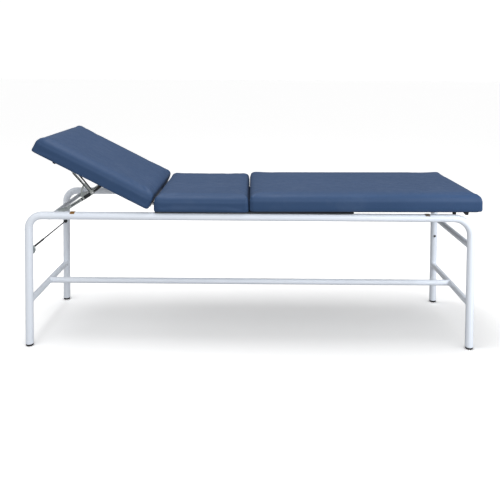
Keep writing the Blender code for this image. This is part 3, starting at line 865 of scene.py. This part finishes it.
# ---- detail of the ratchet arms ------------------------------------------
UPPER_ALONG = (KNEE - HEAD_PIVOT).normalized()
UPPER_ACROSS = Vector((-UPPER_ALONG.z, 0.0, UPPER_ALONG.x))
UPPER_OUTER_Y = 0.1885
QUAD_Y = 0.1842
QUAD_OUTER_R = 0.0550
UPPER_HALF = (0.0110, 0.0075)   # half width at the head pivot and at the knee
EDGE_START = 0.018
EDGE_END = 0.012
EDGE_GAP = 0.0002
EDGE_Y = (0.0001, 0.0062)
BAR_BEVEL = 0.0003
TEETH = 20
FIRST_TOOTH = 9.0
TOOTH_PITCH = 3.8
TOOTH_HALF = 0.0013
TOOTH_LEAN = 0.0009
TOOTH_T = (-0.0009, 0.0009)
TOOTH_ROOT = 0.0006
TOOTH_TIP = 0.0016
CAP_PROFILE = ((0.0, 0.0), (0.0062, 0.0), (0.0062, 0.0008), (0.0054, 0.0020),
               (0.0036, 0.0028), (0.0015, 0.0030), (0.0, 0.0030))
CAP_GAP = 0.0002


def add_bar(bm, start, end, half, y_near, y_far):
    """A bar in the plane of the arms, between two points, across a Y range."""
    along = (end - start).normalized()
    across = Vector((-along.z, 0.0, along.x)) * half
    rows = []
    for point, sign in ((start, -1), (start, 1), (end, 1), (end, -1)):
        spot = point + across * sign
        rows.append([bm.verts.new((spot.x, y, spot.z)) for y in (y_near, y_far)])
    faces = [bm.faces.new([row[0] for row in rows]),
             bm.faces.new([row[1] for row in reversed(rows)])]
    for a, b in zip(rows, rows[1:] + rows[:1]):
        faces.append(bm.faces.new((a[0], a[1], b[1], b[0])))
    edges = {edge for face in faces for edge in face.edges}
    bmesh.ops.bevel(bm, geom=list(edges), offset=BAR_BEVEL, segments=1, affect="EDGES")


def arm_half(s):
    """Half width of the upper arm at a distance from its head pivot."""
    return UPPER_HALF[0] + (UPPER_HALF[1] - UPPER_HALF[0]) * s / ARM_LEN


for side_name, side in SIDES:
    # folded edges along the upper arm, in dark steel: painted shade along the channel's
    # edges
    bm = bmesh.new()
    for sign, half in ((-1, 0.0008), (1, 0.0014)):
        ends = []
        for s in (EDGE_START, ARM_LEN - EDGE_END):
            offset = sign * (arm_half(s) - half - EDGE_GAP)
            ends.append(HEAD_PIVOT + UPPER_ALONG * s + UPPER_ACROSS * offset)
        add_bar(bm, ends[0], ends[1], half, side * (UPPER_OUTER_Y + EDGE_Y[0]),
                side * (UPPER_OUTER_Y + EDGE_Y[1]))
    make("arm_edges_" + side_name, bm, DARK_STEEL, "upper_arms")

    # ratchet teeth round the quadrant
    bm = bmesh.new()
    for i in range(TEETH):
        angle = math.pi + math.radians(FIRST_TOOTH + TOOTH_PITCH * i)
        place = UPPER_ALONG * math.cos(angle) + UPPER_ACROSS * math.sin(angle)
        tangent = UPPER_ACROSS * math.cos(angle) - UPPER_ALONG * math.sin(angle)
        root = KNEE + place * (QUAD_OUTER_R - TOOTH_ROOT)
        tip = KNEE + place * (QUAD_OUTER_R + TOOTH_TIP)
        spots = (root - tangent * TOOTH_HALF, root + tangent * TOOTH_HALF,
                 tip + tangent * TOOTH_LEAN)
        ring = [[bm.verts.new((v.x, side * (QUAD_Y + dy), v.z)) for v in spots]
                for dy in TOOTH_T]
        bm.faces.new(ring[0])
        bm.faces.new(list(reversed(ring[1])))
        for k in range(3):
            m = (k + 1) % 3
            bm.faces.new((ring[0][k], ring[1][k], ring[1][m], ring[0][m]))
    make("quadrant_teeth_" + side_name, bm, ZINC, "upper_arms", False)

    # domed cap over the knee
    bm = bmesh.new()
    add_turned(bm, CAP_PROFILE,
               (KNEE.x, side * (UPPER_OUTER_Y + CAP_GAP), KNEE.z), (0, side, 0), 20)
    make("knee_cap_" + side_name, bm, STEEL, "upper_arms")


# ---- floor, lights and camera --------------------------------------------
FLOOR_X = (-40, 40)
FLOOR_Y = (-20, 60)
FLOOR_LIT = 0.60           # the floor's tone for the light it sends back,
FLOOR_SEEN = 1.46          # and as it is seen, near white
SKY_SEEN = 1.05
SKY_TOP = 0.42
SKY_BACK = 0.12
SKY_FRONT = 0.62
COOL = (0.93, 0.97, 1.0)
COOLER = (0.90, 0.95, 1.0)

bm = bmesh.new()
corners = [bm.verts.new((FLOOR_X[i], FLOOR_Y[j], 0))
           for i, j in ((0, 0), (1, 0), (1, 1), (0, 1))]
bm.faces.new(corners)
floor_mesh = bpy.data.meshes.new("studio_floor")
bm.to_mesh(floor_mesh)
bm.free()
floor = bpy.data.objects.new("studio_floor", floor_mesh)
scene.collection.objects.link(floor)
p = Paint("studio_floor", roughness=0.9, specular=0.0)
seen = p.node("ShaderNodeLightPath").outputs["Is Camera Ray"]
p.colour(p.mixed(seen, (FLOOR_LIT,) * 3, (FLOOR_SEEN,) * 3))
clear = p.node("ShaderNodeBsdfTransparent")
sided = p.node("ShaderNodeMixShader")
p.link(p.node("ShaderNodeNewGeometry").outputs["Backfacing"], sided.inputs[0])
p.link(p.shader.outputs[0], sided.inputs[1])
p.link(clear.outputs[0], sided.inputs[2])
p.link(sided.outputs[0], p.tree.nodes["Material Output"].inputs["Surface"])
floor_mesh.materials.append(p.mat)

world = bpy.data.worlds.new("studio")
scene.world = world
world.use_nodes = True
tree = world.node_tree
background = tree.nodes["Background"]
background.inputs["Color"].default_value = (1.0, 1.0, 1.0, 1.0)
way = tree.nodes.new("ShaderNodeSeparateXYZ")
tree.links.new(tree.nodes.new("ShaderNodeTexCoord").outputs["Generated"], way.inputs[0])


def world_range(value, start, end, low, high):
    made = tree.nodes.new("ShaderNodeMapRange")
    made.interpolation_type = "SMOOTHSTEP"
    for key, number in (("From Min", start), ("From Max", end),
                        ("To Min", low), ("To Max", high)):
        made.inputs[key].default_value = number
    tree.links.new(value, made.inputs["Value"])
    return made.outputs["Result"]


def world_maths(operation, a, b):
    made = tree.nodes.new("ShaderNodeMath")
    made.operation = operation
    tree.links.new(a, made.inputs[0])
    tree.links.new(b, made.inputs[1])
    return made.outputs["Value"]


height = world_range(way.outputs["Z"], 0.05, 0.75, 0.0, SKY_TOP)
front = world_range(way.outputs["Y"], 0.35, -0.6, SKY_BACK, SKY_FRONT)
glow = world_maths("ADD", height, front)
seen = tree.nodes.new("ShaderNodeLightPath").outputs["Is Camera Ray"]
pick = tree.nodes.new("ShaderNodeMix")
tree.links.new(seen, pick.inputs[0])
tree.links.new(glow, pick.inputs[2])
pick.inputs[3].default_value = SKY_SEEN
tree.links.new(pick.outputs[0], background.inputs["Strength"])


def softbox(name, place, target, size, power, colour=(1.0, 1.0, 1.0)):
    data = bpy.data.lights.new(name, "AREA")
    data.shape = "RECTANGLE"
    data.size = size[0]
    data.size_y = size[1]
    data.energy = power
    data.color = colour
    light = bpy.data.objects.new(name, data)
    light.location = place
    aim = (Vector(target) - Vector(place)).normalized()
    light.rotation_mode = "QUATERNION"
    light.rotation_quaternion = aim.to_track_quat("-Z", "Y")
    scene.collection.objects.link(light)
    return light


softbox("overhead", (-0.35, 0.10, 3.3), (0.0, 0.0, 0.0), (2.2, 2.1), 46.0)
fills = (
    softbox("front_fill", (0.6, -3.8, 2.0), (0.0, 0.0, 0.4), (2.8, 1.6), 30.0, COOL),
    softbox("right_fill", (2.3, -1.4, 1.4), (0.9, 0.0, 0.6), (1.0, 0.8), 30.0, COOLER),
)
# the fills light the couch and leave the floor's shadow to the overhead light
lit = bpy.data.collections.new("lit_by_fills")
for obj in scene.objects:
    if obj.type == "MESH" and obj is not floor:
        lit.objects.link(obj)
for light in fills:
    light.light_linking.receiver_collection = lit

CAMERA_PLACE = (-0.00483, -2.90224, 1.23245)
CAMERA_TURN = (87.7866, -0.3458, 0.2255)
CAMERA_LENS = 43.5506
CAMERA_SHIFT_Y = -0.31707

cam_data = bpy.data.cameras.new("camera")
cam_data.sensor_width = 36.0
cam_data.lens = CAMERA_LENS
cam_data.shift_y = CAMERA_SHIFT_Y
camera = bpy.data.objects.new("camera", cam_data)
camera.location = CAMERA_PLACE
camera.rotation_euler = tuple(math.radians(a) for a in CAMERA_TURN)
scene.collection.objects.link(camera)
scene.camera = camera
scene.view_settings.view_transform = "Standard"

bpy.context.view_layer.update()
